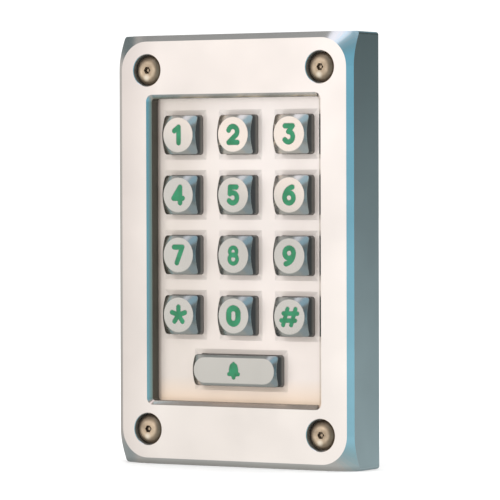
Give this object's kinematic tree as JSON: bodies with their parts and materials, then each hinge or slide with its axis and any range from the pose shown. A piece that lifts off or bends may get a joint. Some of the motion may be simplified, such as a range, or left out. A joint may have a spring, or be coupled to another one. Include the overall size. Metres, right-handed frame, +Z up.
{
  "type": "keypad access reader",
  "caption": "Rectangular satin metal code keypad for a door, wall mounted, with raised keys set in a sunken panel and screws at the corners.",
  "frame": {"origin": "centre of the back plate's rear face, on the wall plane", "axes": "+Z up, the front and its keys face -Y, +Y points into the wall, +X is to the right seen from the front"},
  "size_m": [0.076, 0.0573, 0.12],
  "materials": {
    "housing_metal": "fine satin nickel plate over die-cast zinc",
    "panel_metal": "satin nickel plate",
    "key_metal": "satin chrome, bead-blasted",
    "legend_resin": "translucent green resin, backlit",
    "screw_steel": "dull stainless, worn bright at the rims",
    "seal_rubber": "matt black rubber",
    "mat_silicone": "milky translucent silicone",
    "board_laminate": "green solder resist",
    "contact_gilt": "gold flash",
    "led_resin": "clear lens on white",
    "chip_epoxy": "moulded epoxy",
    "capacitor_resin": "moulded tantalum case",
    "crystal_can": "bright tin can",
    "brass_parts": "turned brass",
    "zinc_screws": "bright zinc",
    "plate_steel": "zinc-plated sheet",
    "switch_plastic": "moulded nylon",
    "plunger_plastic": "natural nylon",
    "jacket_pvc": "grey cable jacket",
    "wire_insulation": "eight coloured wires"
  },
  "bodies": {
    "housing": {"front_housing": "housing_metal", "keypad_panel": "panel_metal", "panel_seal": "seal_rubber", "wall_seal": "seal_rubber", "silicone_mat": "mat_silicone", "circuit_board": "board_laminate", "contact_pads": "contact_gilt", "backlight_leds": "led_resin", "controller_chip": "chip_epoxy", "interface_chip": "chip_epoxy", "voltage_regulator": "chip_epoxy", "smoothing_capacitors": "capacitor_resin", "clock_crystal": "crystal_can", "piezo_sounder": "brass_parts", "security_screws": "screw_steel", "screw_seals": "seal_rubber", "screw_inserts": "brass_parts", "board_standoffs": "brass_parts", "board_screws": "zinc_screws", "back_plate": "plate_steel", "tamper_switch": "switch_plastic", "cable_grommet": "seal_rubber", "cable_jacket": "jacket_pvc", "cable_conductors": "wire_insulation"},
    "button_1": {"key_1": "key_metal", "legend_1": "legend_resin"},
    "button_2": {"key_2": "key_metal", "legend_2": "legend_resin"},
    "button_3": {"key_3": "key_metal", "legend_3": "legend_resin"},
    "button_4": {"key_4": "key_metal", "legend_4": "legend_resin"},
    "button_5": {"key_5": "key_metal", "legend_5": "legend_resin"},
    "button_6": {"key_6": "key_metal", "legend_6": "legend_resin"},
    "button_7": {"key_7": "key_metal", "legend_7": "legend_resin"},
    "button_8": {"key_8": "key_metal", "legend_8": "legend_resin"},
    "button_9": {"key_9": "key_metal", "legend_9": "legend_resin"},
    "button_star": {"key_star": "key_metal", "legend_star": "legend_resin"},
    "button_0": {"key_0": "key_metal", "legend_0": "legend_resin"},
    "button_hash": {"key_hash": "key_metal", "legend_hash": "legend_resin"},
    "button_bell": {"key_bell": "key_metal", "legend_bell": "legend_resin"},
    "plunger": {"tamper_plunger": "plunger_plastic"}
  },
  "joints": [
    {"name": "press_1", "type": "slide", "parent": "housing", "child": "button_1", "axis": [0, 1, 0], "range_m": [0, 0.0008], "deforming": ["silicone_mat"]},
    {"name": "press_2", "type": "slide", "parent": "housing", "child": "button_2", "axis": [0, 1, 0], "range_m": [0, 0.0008], "deforming": ["silicone_mat"]},
    {"name": "press_3", "type": "slide", "parent": "housing", "child": "button_3", "axis": [0, 1, 0], "range_m": [0, 0.0008], "deforming": ["silicone_mat"]},
    {"name": "press_4", "type": "slide", "parent": "housing", "child": "button_4", "axis": [0, 1, 0], "range_m": [0, 0.0008], "deforming": ["silicone_mat"]},
    {"name": "press_5", "type": "slide", "parent": "housing", "child": "button_5", "axis": [0, 1, 0], "range_m": [0, 0.0008], "deforming": ["silicone_mat"]},
    {"name": "press_6", "type": "slide", "parent": "housing", "child": "button_6", "axis": [0, 1, 0], "range_m": [0, 0.0008], "deforming": ["silicone_mat"]},
    {"name": "press_7", "type": "slide", "parent": "housing", "child": "button_7", "axis": [0, 1, 0], "range_m": [0, 0.0008], "deforming": ["silicone_mat"]},
    {"name": "press_8", "type": "slide", "parent": "housing", "child": "button_8", "axis": [0, 1, 0], "range_m": [0, 0.0008], "deforming": ["silicone_mat"]},
    {"name": "press_9", "type": "slide", "parent": "housing", "child": "button_9", "axis": [0, 1, 0], "range_m": [0, 0.0008], "deforming": ["silicone_mat"]},
    {"name": "press_star", "type": "slide", "parent": "housing", "child": "button_star", "axis": [0, 1, 0], "range_m": [0, 0.0008], "deforming": ["silicone_mat"]},
    {"name": "press_0", "type": "slide", "parent": "housing", "child": "button_0", "axis": [0, 1, 0], "range_m": [0, 0.0008], "deforming": ["silicone_mat"]},
    {"name": "press_hash", "type": "slide", "parent": "housing", "child": "button_hash", "axis": [0, 1, 0], "range_m": [0, 0.0008], "deforming": ["silicone_mat"]},
    {"name": "press_bell", "type": "slide", "parent": "housing", "child": "button_bell", "axis": [0, 1, 0], "range_m": [0, 0.0008], "deforming": ["silicone_mat"]},
    {"name": "tamper_release", "type": "slide", "parent": "housing", "child": "plunger", "axis": [0, 1, 0], "range_m": [0, 0.0009]}
  ]
}
